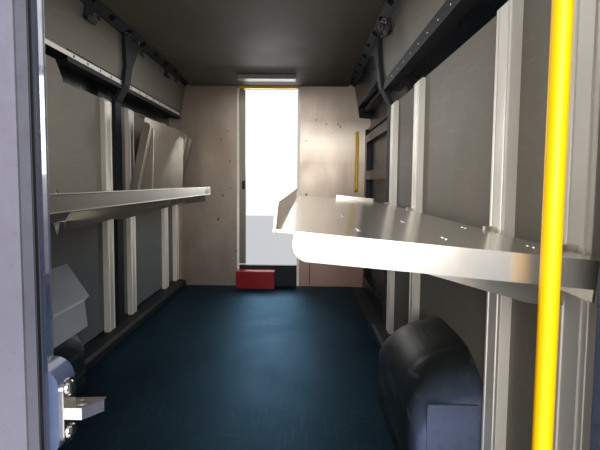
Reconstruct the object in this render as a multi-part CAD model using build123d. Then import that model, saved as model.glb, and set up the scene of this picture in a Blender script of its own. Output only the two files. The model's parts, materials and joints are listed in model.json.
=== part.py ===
"""Load compartment of a high-roof panel van, with folding metal shelves on its walls.

X points right, Y forwards to the cab and Z up. The origin is the centre of the four body bolts in
the underframe, on the plane that the compartment stands on. All sizes are in millimetres.
"""
import os

from build123d import *

os.makedirs("parts", exist_ok=True)

# Load space: heights are above the load floor, distances are ahead of the closed rear doors
FLOOR = 230.0            # top of the floor mat above the ground plane
MAT = 5.0
PAN = 20.0
LOAD_LENGTH = 3700.0
REAR = -LOAD_LENGTH / 2
BULKHEAD = REAR + LOAD_LENGTH
FRONT = BULKHEAD + 70.0
HEADROOM = 1935.0
FRAME_DEPTH = 90.0       # depth of the rear door frame along Y

# Half widths of the load space
WALL_X = 905.0
BOARD = 5.0
KERB_X = 800.0
KERB_HEIGHT = 55.0
BELT_LOW, BELT_HIGH = 1500.0, 1608.0
UPPER_X, CANT_X, LINER_X = 845.0, 797.0, 738.0
CANT_HEIGHT = 1893.0

# Wheelhouses: half length and height above the load floor, from the foot to the crown
ARCH_Y = REAR + 1110.0
ARCH_X = 690.0
ARCH_HEIGHT = 415.0
ARCH_PROFILE = ((370.0, -25.0), (370.0, 300.0), (352.0, 338.0), (170.0, 402.0), (60.0, ARCH_HEIGHT))
ARCH_HALF = ARCH_PROFILE[0][0]
ARCH_SKIN, ARCH_CORNER = 8.0, 34.0
WHEEL_R, WHEEL_Z = 400.0, 60.0

# Openings
REAR_HALF, REAR_HEIGHT = 780.0, 1790.0
SIDE_OPENING = (2405.0, 3690.0, -62.0, 1700.0)     # rear, front, bottom, top
DOOR_GAP = 6.0
DOORWAY = (-286.0, 267.0, 1876.0)                  # left, right, top
RISER = 200.0

# Rear doors
DOOR_THICK, DOOR_SKIN = 65.0, 22.0
LEFT_LIP, LEFT_EDGE, RIGHT_EDGE = -20.0, -2.0, 26.0
HINGE_X, HINGE_BACK = 1003.0, 60.0
HINGE_HEIGHTS = (10.0, 720.0, 1270.0)
KNUCKLE_R, PIN_R, PIN_PLAY = 11.0, 5.0, 0.05
DOOR_REST = 90.0

# Posts: inner face, depth, width, foot and head
POST_X, POST_DEPTH, POST_WIDTH = 870.0, 30.0, 60.0
POST_FOOT, POST_HEAD = 58.0, 1497.0
POSTS_LEFT = (300.0, 670.0, 1625.0, 2190.0, 2560.0, 3330.0, 3650.0)
POSTS_RIGHT = (300.0, 670.0, 1620.0, 2220.0)

# Shelves: pivot, sheet and arm
PIVOT_X, PIVOT_Z = 850.0, 868.0
SHELF_DEPTH, SHELF_SHEET = 570.0, 4.0
SHELF_LIP, SHELF_FLANGE, SHELF_END = 45.0, 70.0, 48.0
SHELF_TILT, SHELF_UP = 5.0, 77.6
ARM_THICK, CHEEK, ARM_ROOT = 6.0, 4.0, 108.0
# name, side, rear end, front end, angle at rest, places of its arms
SHELVES = (
    ("left_rear", -1, 100.0, 2375.0, SHELF_TILT, (300.0, 670.0, 1625.0, 2190.0)),
    ("left_front", -1, 2420.0, 3520.0, SHELF_UP, (2560.0, 3330.0)),
    ("right", 1, 165.0, 2270.0, SHELF_TILT, (300.0, 670.0, 1620.0, 2220.0)),
)

# Yellow tube
TUBE_R = 15.0
POLE_X, POLE_Y = 722.0, 118.0


def along(distance):
    """Y of a place so far ahead of the closed rear doors."""
    return REAR + distance


def above(height):
    """Z of a place so far above the load floor."""
    return FLOOR + height


def block(x0, x1, y0, y1, z0, z1):
    """Box between two corners."""
    size = (abs(x1 - x0), abs(y1 - y0), abs(z1 - z0))
    centre = ((x0 + x1) / 2, (y0 + y1) / 2, (z0 + z1) / 2)
    return Pos(*centre) * Box(*size)


def section(points, y0, y1):
    """Prism along Y from an outline of (x, z) points."""
    face = make_face(Polyline(*[(x, 0, z) for x, z in points], close=True))
    return Pos(0, y0, 0) * extrude(face, y1 - y0, dir=(0, 1, 0))


def side_prism(points, x0, x1):
    """Prism along X from an outline of (y, z) points."""
    face = make_face(Polyline(*[(0, y, z) for y, z in points], close=True))
    return Pos(x0, 0, 0) * extrude(face, x1 - x0, dir=(1, 0, 0))


def mirrored(shape, side):
    """The right-hand shape for side 1 and its mirror image for side -1."""
    return shape if side > 0 else mirror(shape, Plane.YZ)


def rod(start, end, radius):
    """Round bar between two points."""
    path = Vector(*end) - Vector(*start)
    plane = Plane(origin=start, z_dir=path)
    return extrude(plane * Circle(radius), path.length)


def tube_path(points, bend, radius):
    """Bent tube through points, with one bend radius."""
    path = FilletPolyline(*points, radius=bend)
    start = Plane(origin=path @ 0, z_dir=path % 0)
    return sweep(start * Circle(radius), path)


NODES = {}


def keep(name, *shapes):
    """Names one node and its solids."""
    solids = [s for shape in shapes for s in shape.solids()]
    NODES[name] = solids


# Outer skin: sill, waist, shoulder and roof edge as (half width, height)
SILL, WAIST, SHOULDER, HIP, EDGE = (985.0, 30.0), (1025.0, 700.0), (1003.0, 1450.0), \
    (958.0, 1990.0), (908.0, 2138.0)
ROOF_TOP, ROOF_BRIM = 2262.0, (872.0, 2188.0)


def skin_line(inset=0.0):
    """Right-hand outer line of the body from sill to roof edge."""
    def shift(p):
        return (p[0] - inset, 0, p[1])
    lower = ThreePointArc(shift(SILL), shift(WAIST), shift(SHOULDER))
    middle = Line(lower @ 1, shift(HIP))
    upper = ThreePointArc(middle @ 1, shift((940.0, 2075.0)), shift(EDGE))
    return [lower, middle, upper]


def wall_solid(y0, y1):
    """One side wall from lining face to outer skin, right-hand side."""
    skin = skin_line()
    inner = Polyline(
        skin[-1] @ 1, (852, 0, EDGE[1]), (852, 0, above(CANT_HEIGHT)),
        (CANT_X, 0, above(CANT_HEIGHT)), (UPPER_X, 0, above(BELT_HIGH)),
        (950, 0, above(BELT_HIGH - 8)), (950, 0, above(BELT_LOW + 5)),
        (WALL_X, 0, above(BELT_LOW)), (WALL_X, 0, 150), (950, 0, SILL[1]), skin[0] @ 0)
    face = make_face(Wire(skin + inner.edges()))
    return Pos(0, y0, 0) * extrude(face, y1 - y0, dir=(0, 1, 0))


def arch_solid(grow, drop, x0, x1):
    """Solid wheelhouse between two widths, right-hand side, its foot lowered by a drop."""
    foot, *rest = ARCH_PROFILE
    half = [(foot[0], foot[1] - drop)] + rest
    rear = [(ARCH_Y - y - grow, above(z) + (grow if z > 0 else 0)) for y, z in half]
    fore = [(ARCH_Y + y + grow, above(z) + (grow if z > 0 else 0)) for y, z in reversed(half)]
    return side_prism(rear + fore, x0, x1)


def hood(grow, drop, x0, x1, corner):
    """Wheelhouse with its aisle-side edge broken."""
    solid = arch_solid(grow, drop, x0, x1)
    rim = [e for e in solid.edges() if abs(e.center().X - x0) < 1 and e.center().Z > above(0)]
    return chamfer(rim, corner)


def build_floor():
    """Mat, ribbed pan, underframe, kerbs and bumper."""
    slot = [mirrored(arch_solid(3, 200, ARCH_X - 3, WALL_X + 1), s) for s in (1, -1)]
    inside = REAR + FRAME_DEPTH
    pan = block(-WALL_X, WALL_X, inside, FRONT, above(-MAT - PAN), above(-MAT))
    pan += block(-REAR_HALF, REAR_HALF, REAR, inside, above(-MAT - PAN), above(-MAT))
    mat = block(-KERB_X, KERB_X, inside, BULKHEAD, above(-MAT), above(0))
    mat += block(-REAR_HALF, REAR_HALF, REAR + 10, inside, above(-MAT), above(0))
    for s in slot:
        pan -= s
        mat -= s
    keep("floor_pan", pan)
    keep("floor_mat", mat)

    rail_top = above(-MAT - PAN)
    frame = []
    for x in (-430.0, 430.0):
        rail = block(x - 50, x + 50, REAR + 20, FRONT, 0, rail_top)
        for y in (-1100.0, 1100.0):
            rail -= Pos(x, y, 30) * Cylinder(9, 60)
        frame.append(rail)
    for y in (140.0, 1560.0, 2200.0, 2900.0, 3600.0):
        for x0, x1 in ((-WALL_X, -480.0), (-380.0, 380.0), (480.0, WALL_X)):
            frame.append(block(x0, x1, along(y) - 40, along(y) + 40, 100, rail_top))
    keep("underframe", *frame)

    kerbs = []
    behind, ahead = ARCH_Y - ARCH_HALF - 10 - REAR, ARCH_Y + ARCH_HALF + 6 - REAR
    spans = {1: [(90, behind), (ahead, 2395)], -1: [(90, behind), (ahead, LOAD_LENGTH)]}
    for side, runs in spans.items():
        for y0, y1 in runs:
            bar = section([(KERB_X, above(-MAT)), (KERB_X, above(38)), (KERB_X + 14, above(KERB_HEIGHT)),
                           (WALL_X, above(KERB_HEIGHT)), (WALL_X, above(-MAT))], along(y0), along(y1))
            kerbs.append(mirrored(bar, side))
    keep("kerbs", *kerbs)

    bumper = block(-960, 960, REAR - 95, REAR, 40, 160)
    bumper = fillet(bumper.edges().filter_by(Axis.Z).sort_by(Axis.Y)[:2], 45)
    keep("rear_bumper", bumper)


def build_walls():
    """Side walls, pillars and rear frame."""
    for side, name in ((-1, "left"), (1, "right")):
        wall = wall_solid(REAR + FRAME_DEPTH, FRONT)
        wall -= arch_solid(3, 260, WALL_X - 5, 985)
        wall -= Pos(950, ARCH_Y, WHEEL_Z) * Rot(0, 90, 0) * Cylinder(WHEEL_R, 300)
        if side > 0:
            y0, y1, z0, z1 = SIDE_OPENING
            wall -= block(780, 1100, along(y0), along(y1), above(z0), above(z1))
            wall -= block(1008, 1100, along(1400), along(2390), 810, 850)
        wall -= block(1016, 1100, along(1420), along(2330), 900, 1380)
        if side < 0:
            wall -= block(1016, 1100, along(2430), along(3620), 900, 1380)
        keep("side_wall_" + name, mirrored(wall, side))
    strips = []
    clear = ARCH_Y - REAR - WHEEL_R - 25, ARCH_Y - REAR + WHEEL_R + 25
    doorway = SIDE_OPENING[0] - 12, SIDE_OPENING[0] + 12
    for side, spans in ((-1, ((95, clear[0]), (clear[1], 3760))),
                        (1, ((95, clear[0]), (clear[1], doorway[0]), (doorway[1], 3670)))):
        for y0, y1 in spans:
            strip = block(1000, 1033, along(y0), along(y1), 420, 530)
            strip -= wall_solid(along(y0) - 1, along(y1) + 1)
            strips.append(mirrored(strip, side))
    keep("side_strips", *strips)
    pillar = section([(872, above(KERB_HEIGHT)), (WALL_X - BOARD, above(KERB_HEIGHT)),
                      (WALL_X - BOARD, above(BELT_LOW)), (840, above(BELT_HIGH)),
                      (792, above(CANT_HEIGHT)), (770, above(CANT_HEIGHT)),
                      (812, above(BELT_HIGH)), (872, above(BELT_LOW))],
                     along(2300), along(2392))
    gusset = section([(838, above(BELT_HIGH)), (790, above(CANT_HEIGHT)), (770, above(CANT_HEIGHT)),
                      (812, above(BELT_HIGH))], along(2200), along(2500))
    gusset &= side_prism([(along(2215), above(CANT_HEIGHT)), (along(2470), above(CANT_HEIGHT)),
                          (along(2392), above(1720)), (along(2300), above(1720))], 700, 900)
    keep("pillars", *[mirrored(pillar + gusset, side) for side in (-1, 1)])

    skin = skin_line()
    brim = Line(skin[-1] @ 1, (ROOF_BRIM[0], 0, ROOF_BRIM[1]))
    crown = roof_arc(ROOF_TOP).trim(0.5, 1)
    middle = Polyline(crown @ 0, (0, 0, SILL[1]), skin[0] @ 0)
    outline = make_face(Wire(skin + [brim, crown] + middle.edges()))
    ring = Pos(0, REAR, 0) * extrude(outline, FRAME_DEPTH, dir=(0, 1, 0))
    ring += mirror(ring, Plane.YZ)
    hole = block(-REAR_HALF, REAR_HALF, REAR - 5, REAR + FRAME_DEPTH + 5, above(-MAT - PAN),
                 above(REAR_HEIGHT))
    hole = fillet(hole.edges().filter_by(Axis.Y).sort_by(Axis.Z)[-2:], 90)
    ring -= hole
    ring -= block(-380, 380, REAR + 15, REAR + FRAME_DEPTH + 5, 20, 206)
    for x in (-430.0, 430.0):
        ring -= block(x - 51, x + 51, REAR + 19, REAR + 100, 0, 206)
    lamps = []
    for side in (-1, 1):
        recess = mirrored(block(986, 1100, REAR - 1, REAR + 62, 700, 1180), side)
        lamps.append(ring & mirrored(block(987, 1100, REAR - 1, REAR + 61, 701, 1179), side))
        ring -= recess
    keep("tail_lamps", *lamps)
    keep("rear_frame", ring)


def roof_arc(top):
    """Crown of the roof from its left brim to its right one."""
    return ThreePointArc((-ROOF_BRIM[0], 0, ROOF_BRIM[1]), (0, 0, top),
                         (ROOF_BRIM[0], 0, ROOF_BRIM[1]))


def build_roof():
    """Roof skin with its pressings, liner with the sloping header, cant rails and lamp."""
    outer = roof_arc(ROOF_TOP)
    low = above(HEADROOM + 12)
    rest = Polyline((ROOF_BRIM[0], 0, ROOF_BRIM[1]), (EDGE[0], 0, EDGE[1]), (852, 0, EDGE[1]),
                    (852, 0, low - 27), (782, 0, low), (-782, 0, low), (-852, 0, low - 27),
                    (-852, 0, EDGE[1]), (-EDGE[0], 0, EDGE[1]), (-ROOF_BRIM[0], 0, ROOF_BRIM[1]))
    face = make_face(Wire([outer] + rest.edges()))
    roof = Pos(0, REAR + FRAME_DEPTH, 0) * extrude(face, FRONT - REAR - FRAME_DEPTH, dir=(0, 1, 0))
    for k in range(5):
        y = along(500 + 660 * k)
        roof += Pos(0, y, 0) * extrude(rib_face(), 60, dir=(0, 1, 0))
    keep("roof_panel", roof)

    line = [(along(95), above(HEADROOM)), (along(3130), above(HEADROOM)),
            (along(3600), above(HEADROOM - 38)), (BULKHEAD - 4, above(HEADROOM - 38)),
            (BULKHEAD - 4, above(HEADROOM - 33)), (along(3602), above(HEADROOM - 33)),
            (along(3131), above(HEADROOM + 6)), (along(95), above(HEADROOM + 6))]
    keep("roof_liner", side_prism(line, -LINER_X, LINER_X))

    rails = []
    for side in (-1, 1):
        rail = section([(CANT_X - 5, above(CANT_HEIGHT)), (LINER_X + 1, above(HEADROOM - 6)),
                        (LINER_X + 1, above(HEADROOM + 11)), (780, above(HEADROOM + 11)),
                        (851, above(HEADROOM - 17)), (851, above(CANT_HEIGHT))],
                       REAR + FRAME_DEPTH, BULKHEAD)
        for k in range(14):
            y = along(260 + 245 * k)
            rail -= block(745, 775, y, y + 60, above(CANT_HEIGHT - 20), above(HEADROOM + 4))
        rails.append(mirrored(rail, side))
    keep("cant_rails", *rails)

    lamp = block(-250, 250, along(3330), along(3430), above(HEADROOM - 52), above(HEADROOM - 10))
    lamp -= side_prism([(along(3120), above(HEADROOM)), (along(3600), above(HEADROOM - 38)),
                        (along(3600), above(HEADROOM + 60)), (along(3120), above(HEADROOM + 60))],
                       -300, 300)
    keep("roof_lamp", lamp)


def rib_face():
    """Outline of one shallow raised bead across the roof."""
    reach, rise = 640.0, 6.0
    side = 2203.0
    high = ThreePointArc((-reach, 0, side + 22), (0, 0, ROOF_TOP + rise), (reach, 0, side + 22))
    rest = Polyline((reach, 0, side + 22), (reach + 14, 0, side), (-reach - 14, 0, side),
                    (-reach, 0, side + 22))
    return make_face(Wire([high] + rest.edges()))


def upper_x(height):
    """Half width of the leaning upper wall at a height above the floor."""
    part = (height - BELT_HIGH) / (CANT_HEIGHT - BELT_HIGH)
    return UPPER_X + part * (CANT_X - UPPER_X)


def build_linings():
    """Wall boards, belt rails and posts."""
    inner = WALL_X - BOARD
    for side, name, front in ((-1, "left", 3695.0), (1, "right", 2298.0)):
        runs = ((95.0, 2298.0), (2394.0, front)) if side < 0 else ((95.0, front),)
        boards = []
        uppers = []
        for y0, y1 in runs:
            board = block(inner, WALL_X, along(y0), along(y1), above(75), above(BELT_LOW - 1))
            board -= arch_solid(ARCH_SKIN, 60, 700, 1000)
            boards.append(mirrored(board, side))
            low, high = BELT_HIGH + 4, CANT_HEIGHT - 1
            upper = section([(upper_x(low), above(low)), (upper_x(high), above(high)),
                             (upper_x(high) - BOARD, above(high)), (upper_x(low) - BOARD, above(low))],
                            along(y0), along(y1))
            uppers.append(mirrored(upper, side))
        keep("lining_lower_" + name, *boards)
        keep("lining_upper_" + name, *uppers)

    y0, y1 = along(100), along(1662)
    panel = side_prism([(y0, above(90)), (y1, above(90)), (y1, above(BELT_LOW)),
                        (along(1600), above(1579)), (y0, above(1579))], POST_X - BOARD, POST_X)
    panel -= arch_solid(ARCH_SKIN, 60, 700, 1000)
    panel -= side_prism([(along(1500), above(PIVOT_Z)), (along(1585), above(PIVOT_Z + 90)),
                         (along(1640), above(PIVOT_Z)), (along(1585), above(PIVOT_Z - 150))],
                        POST_X - 20, POST_X + 20)
    for place in POSTS_LEFT[:3]:
        y = along(place)
        panel -= block(POST_X - 20, POST_X + 20, y - 16, y + 16, above(PIVOT_Z - 22), above(PIVOT_Z + 22))
    keep("lining_rear_left", mirrored(panel, -1))

    rails = []
    for side, y0, y1 in ((-1, 1640, 2297), (-1, 2395, 3640), (1, 100, 2297)):
        rail = block(UPPER_X - 19, UPPER_X - 15, along(y0), along(y1), above(1585), above(1640))
        rail += block(UPPER_X - 19, UPPER_X + 40, along(y0), along(y1), above(1581), above(1585))
        rails.append(mirrored(rail, side))
    keep("belt_rails", *rails)

    for side, name, places in ((-1, "left", POSTS_LEFT), (1, "right", POSTS_RIGHT)):
        posts = []
        for place in places:
            y = along(place)
            foot = POST_FOOT
            if abs(y - ARCH_Y) < ARCH_HALF:
                foot = ARCH_HEIGHT + 12
            post = block(POST_X, POST_X + POST_DEPTH, y - POST_WIDTH / 2, y + POST_WIDTH / 2,
                         above(foot), above(POST_HEAD))
            for offset in (-18.0, 18.0):
                post -= block(POST_X - 1, POST_X + 3, y + offset - 5, y + offset + 5,
                              above(foot - 1), above(POST_HEAD + 1))
            post -= section([(POST_X - 1, above(POST_HEAD - 14)), (POST_X + 14, above(POST_HEAD + 1)),
                             (POST_X - 1, above(POST_HEAD + 1))], y - 40, y + 40)
            posts.append(mirrored(post, side))
        keep("posts_" + name, *posts)


def build_wheelhouses():
    """Wheelhouses, the folded cover over the left one and the panel behind the right one."""
    for side, name in ((-1, "left"), (1, "right")):
        outer = hood(0, 0, ARCH_X, 984, ARCH_CORNER)
        inner = hood(-ARCH_SKIN, 20, ARCH_X + ARCH_SKIN, 990, ARCH_CORNER - 3)
        keep("wheelhouse_" + name, mirrored(outer - inner, side))
    panel = block(712, 868, along(732), along(739), above(2), above(332))
    keep("wheelhouse_cover_right", fillet(panel.edges().filter_by(Axis.Y).sort_by(Axis.Z)[-2:], 12))
    cover = section([(864, above(578)), (682, above(452)), (676, above(444)), (676, above(318)),
                     (681, above(318)), (681, above(441)), (686, above(447)), (864, above(571))],
                    along(640), along(1690))
    front = [(1690, 620), (1677, 594), (1510, 453), (1449, 446), (1475, 316), (1475, 300), (1700, 300),
             (1700, 620)]
    cover -= side_prism([(along(y), above(z)) for y, z in front], 600, 900)
    keep("wheelhouse_cover_left", mirrored(cover, -1))


def build_bulkhead():
    """Bulkhead sheets, lintel, riser, step and the sliding partition door's track."""
    left, right, top = DOORWAY
    thick = 20.0
    for side, name, jamb in ((-1, "left", -left), (1, "right", right)):
        sheet = section([(jamb, above(-MAT)), (WALL_X - BOARD - 1, above(-MAT)),
                         (WALL_X - BOARD - 1, above(BELT_LOW)),
                         (UPPER_X - BOARD - 14, above(BELT_HIGH)),
                         (CANT_X - BOARD - 3, above(CANT_HEIGHT)), (LINER_X, above(HEADROOM - 6)),
                         (LINER_X, above(HEADROOM + 10)), (jamb, above(HEADROOM + 10))],
                        BULKHEAD, BULKHEAD + thick)
        keep("bulkhead_" + name, mirrored(sheet, side))
    keep("doorway_lintel", block(left, right, BULKHEAD - 3, BULKHEAD + thick, above(top),
                                 above(HEADROOM + 10)))
    keep("doorway_riser", block(left, right, BULKHEAD, FRONT - 20, above(-MAT), above(RISER)))
    step = block(-300, 60, BULKHEAD - 122, BULKHEAD - 2, above(0), above(165))
    step = fillet(step.edges().filter_by(Axis.X).sort_by(Axis.Z)[-2:], 10)
    keep("red_step", step)

    track = block(-780, 560, BULKHEAD + thick, BULKHEAD + thick + 44, above(1880), above(1930))
    track -= block(-800, 600, BULKHEAD + thick + 9, BULKHEAD + thick + 35, above(1875), above(1922))
    keep("partition_track", track)
    y0 = BULKHEAD + thick + 12
    door = block(left - 504, left + 57, y0, y0 + 20, above(RISER + 8), above(1868))
    door += block(left - 490, left + 40, y0 + 7, y0 + 13, above(1860), above(1914))
    keep("partition_door", door)
    keep("partition_latch", block(left + 22, left + 50, y0 - 9, y0, above(930), above(1010)))


def build_side_door():
    """Closed sliding side door with its inner ribs, its outer guide rail and its handle."""
    y0, y1, z0, z1 = SIDE_OPENING
    rear, front = along(y0) + DOOR_GAP, along(y1) - DOOR_GAP
    solid = wall_solid(rear, front)
    solid &= block(700, 1100, rear, front, above(z0) + DOOR_GAP, above(z1) - DOOR_GAP)
    solid -= block(700, 952, rear - 1, front + 1, above(1440), above(z1))
    for low, high in ((120, 370), (450, 700), (780, 1030), (1110, 1370)):
        solid -= block(WALL_X - 10, WALL_X + 42, rear + 84, front - 84, above(low), above(high))
    for low, reach in ((1480, 930), (1652, 880)):
        solid += block(reach, 953, rear + 20, front - 20, above(low), above(low + 34))
    keep("side_door", solid)
    keep("side_door_rail", block(1008, 1020, along(1401), along(2389), 815, 845))
    handle = block(1012, 1046, along(2470), along(2620), 905, 940)
    keep("side_door_handle", fillet(handle.edges().filter_by(Axis.Z), 6) - solid)


def door_outline(edge, y0, y1):
    """Right-hand rear door leaf from its free edge to its hinge side."""
    return section([(edge, 168), (965, 168), (985, 700), (974, 1500), (925, 2000), (860, 2112),
                    (edge, 2140)], y0, y1)


def plan_prism(points, z0, z1):
    """Prism along Z from an outline of (x, y) points."""
    face = make_face(Polyline(*[(x, y, z0) for x, y in points], close=True))
    return extrude(face, z1 - z0, dir=(0, 0, 1))


def left_leaf(leaf, back):
    """Adds the overlapping lip and the striker's boss to the left leaf, drawn right-handed."""
    lip = back + DOOR_SKIN
    leaf += door_outline(LEFT_LIP, back, lip)
    leaf += plan_prism([(LEFT_EDGE + 1, lip), (-14, lip), (LEFT_EDGE, REAR - 5), (LEFT_EDGE + 1, REAR - 5)],
                       168, 2139)
    boss = block(-32, LEFT_EDGE + 4, lip, REAR - 8, above(650), above(767))
    return leaf + fillet(boss.edges().filter_by(Axis.Y).sort_by(Axis.X)[:2], 26)


def striker(back):
    """Plate on the boss with its looped finger, left leaf, drawn right-handed."""
    lip = back + DOOR_SKIN
    plate = block(-36, -32, lip + 4, lip + 34, above(664), above(746))
    plate = fillet(plate.edges().filter_by(Axis.X), 13)
    finger = plan_prism([(-34, lip + 5), (-58, lip + 5), (-76, lip + 28), (-76, lip + 36),
                         (-34, lip + 34)], above(699), above(714))
    finger -= plan_prism([(-44, lip + 12), (-55, lip + 12), (-67, lip + 28), (-46, lip + 28)],
                         above(690), above(720))
    return plate + finger


def build_rear_doors():
    """Two hinged rear doors, their hinges, the striker, the latch and the handle."""
    back = REAR - 5 - DOOR_THICK
    hinge_y = REAR - HINGE_BACK
    pins = []
    for side, name, edge in ((-1, "left", LEFT_EDGE), (1, "right", RIGHT_EDGE)):
        leaf = door_outline(edge, back, REAR - 5)
        for z0, z1 in ((300, 760), (850, 1300), (1390, 1950)):
            leaf -= block(130, 830, REAR - 40, REAR, z0, z1)
        leaf -= block(120, 840, back - 5, back + 8, 1180, 1860)
        knuckles = []
        for height in HINGE_HEIGHTS:
            z = above(height)
            hole = Pos(HINGE_X, hinge_y, z) * Cylinder(PIN_R + PIN_PLAY, 300)
            strap = Pos(HINGE_X, hinge_y, z + 62) * Cylinder(KNUCKLE_R, 40)
            strap += block(940, HINGE_X, hinge_y - 9, hinge_y - 3, z + 42, z + 82)
            knuckles.append(strap - hole)
            root = Pos(HINGE_X, hinge_y, z + 20) * Cylinder(KNUCKLE_R, 40)
            root += block(HINGE_X - 8, HINGE_X + 8, hinge_y, REAR, z, z + 40)
            root += Pos(HINGE_X, hinge_y, z + 61) * Cylinder(PIN_R, 46)
            leaf -= Pos(HINGE_X, hinge_y, z + 40) * Cylinder(KNUCKLE_R + 7, 110)
            leaf -= block(HINGE_X - 16, HINGE_X + 30, hinge_y, REAR, z - 7, z + 47)
            pins.append(mirrored(root, side))
        for strap in knuckles:
            leaf += strap
        if side < 0:
            keep("rear_door_left", mirrored(left_leaf(leaf, back), -1))
            keep("rear_striker_left", mirrored(striker(back), -1))
        else:
            leaf -= block(RIGHT_EDGE - 1, 95, back + DOOR_SKIN - 6, REAR, above(615), above(800))
            latch = block(95, 140, back + 18, REAR - 5, above(640), above(760))
            leaf -= block(95, 140.5, back + 17.5, REAR, above(639.5), above(760.5))
            handle = block(70, 230, back - 20, back, 850, 890)
            handle = fillet(handle.edges().filter_by(Axis.Z).sort_by(Axis.Y)[:2], 12)
            swing = Pos(HINGE_X, hinge_y, 0) * Rot(0, 0, DOOR_REST) * Pos(-HINGE_X, -hinge_y, 0)
            keep("rear_door_right", swing * leaf)
            keep("rear_latch_right", swing * latch)
            keep("rear_handle_right", swing * handle)
    keep("door_hinges", *pins)


def build_shelves():
    """Three folding shelves, their arms and the pivots on the posts."""
    pivots = []
    half = SHELF_SHEET / 2
    for name, side, rear, front, angle, arms in SHELVES:
        length = front - rear
        sheet = block(4, SHELF_DEPTH, 0, length, -half, half)
        sheet += block(SHELF_DEPTH - SHELF_SHEET, SHELF_DEPTH, 0, length, -half, SHELF_LIP)
        sheet += block(20, 24, 0, length, -SHELF_FLANGE, half)
        end = block(24, SHELF_DEPTH - 35, 0, SHELF_SHEET, -SHELF_END, 0)
        end = fillet(end.edges().filter_by(Axis.Y).sort_by(Axis.Z)[:2].sort_by(Axis.X)[-1], 28)
        sheet += end
        sheet += block(24, SHELF_DEPTH - 35, length - SHELF_SHEET, length, -SHELF_END, 0)
        plates = []
        for place in arms:
            y = place - rear
            sheet -= block(-20, 19, y - 16, y + 16, -80, 20)
            sheet -= block(19, 30, y - 3.5, y + 3.5, -80, -half)
            plates.append(side_plate(y, side > 0))
            pivots.append(pivot_bracket(side, along(place)))
        keep("shelf_" + name, shelf_frame(side, angle, along(rear), sheet))
        keep("shelf_arms_" + name, *[shelf_frame(side, angle, along(rear), p) for p in plates])
    keep("shelf_brackets", *pivots)
    slab = block(80, 330, 2040, 2100, 2.2, 27)
    slab = fillet(slab.edges().filter_by(Axis.Z), 12)
    keep("shelf_slab", shelf_frame(1, SHELF_TILT, along(165), slab))


def shelf_frame(side, angle, y, shape):
    """Turns a shape from the shelf's own frame, X to the aisle, to its place on a wall."""
    turned = Rot(0, -angle, 0) * shape
    placed = Pos(-PIVOT_X, y, above(PIVOT_Z)) * turned
    return placed if side < 0 else mirror(placed, Plane.YZ)


def side_plate(y, drilled):
    """Tapered arm under a shelf, with its pivot eye, in the shelf's own frame."""
    under = -SHELF_SHEET / 2
    outline = [(-12, 6), (-6, 12), (6, 12), (12, 6), (12, under), (SHELF_DEPTH - 40, under),
               (SHELF_DEPTH - 60, -26), (60, -ARM_ROOT - 2), (-9, -ARM_ROOT), (-12, -20)]
    plate = section(outline, y - ARM_THICK / 2, y + ARM_THICK / 2)
    plate -= Pos(0, y, 0) * Rot(90, 0, 0) * Cylinder(PIN_R + PIN_PLAY, 30)
    if drilled:
        plate -= Pos(14, y, -62) * Rot(90, 0, 0) * Cylinder(8, 30)
    return plate


def pivot_bracket(side, y):
    """Two cheeks and a pin on a post's face, for one arm."""
    gap = ARM_THICK / 2 + 1
    parts = block(PIVOT_X - 13, POST_X, y - gap - CHEEK, y - gap, above(PIVOT_Z - 13), above(PIVOT_Z + 13))
    parts += block(PIVOT_X - 13, POST_X, y + gap, y + gap + CHEEK, above(PIVOT_Z - 13),
                   above(PIVOT_Z + 13))
    parts += block(POST_X - 4, POST_X, y - gap - CHEEK, y + gap + CHEEK, above(PIVOT_Z - 13),
                   above(PIVOT_Z + 13))
    parts += Pos(PIVOT_X, y, above(PIVOT_Z)) * Rot(90, 0, 0) * Cylinder(PIN_R, 2 * gap + CHEEK)
    return mirrored(parts, side)


def build_tubes():
    """Yellow pole at the rear opening and yellow handle by the side door."""
    pole = rod((POLE_X, along(POLE_Y), above(0)), (POLE_X, along(POLE_Y), above(HEADROOM)), TUBE_R)
    pole += Pos(POLE_X, along(POLE_Y), above(3)) * Cylinder(32, 6)
    pole += Pos(POLE_X, along(POLE_Y), above(HEADROOM - 3)) * Cylinder(15.5, 6)
    keep("rear_grab_pole", pole)
    y = BULKHEAD
    handle = tube_path([(822, y, above(925)), (822, y - 75, above(925)), (822, y - 75, above(1465)),
                        (822, y, above(1465))], 35, 14)
    keep("side_grab_handle", handle)


build_floor()
build_walls()
build_roof()
build_linings()
build_wheelhouses()
build_bulkhead()
build_side_door()
build_rear_doors()
build_shelves()
build_tubes()

for name, solids in NODES.items():
    shape = solids[0] if len(solids) == 1 else Compound(children=solids)
    export_step(shape, os.path.join("parts", name + ".step"))
print(len(NODES), "nodes")
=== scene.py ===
"""Dresses the load compartment of a high-roof panel van: finishes, pressings, seals and fasteners.

Sizes are in metres in the compartment's own frame: X right, Y forwards to the cab, Z up. Numbers
that go through along() and above(), and outlines that are divided by 1000, are in millimetres.
"""
import json
import math

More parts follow.
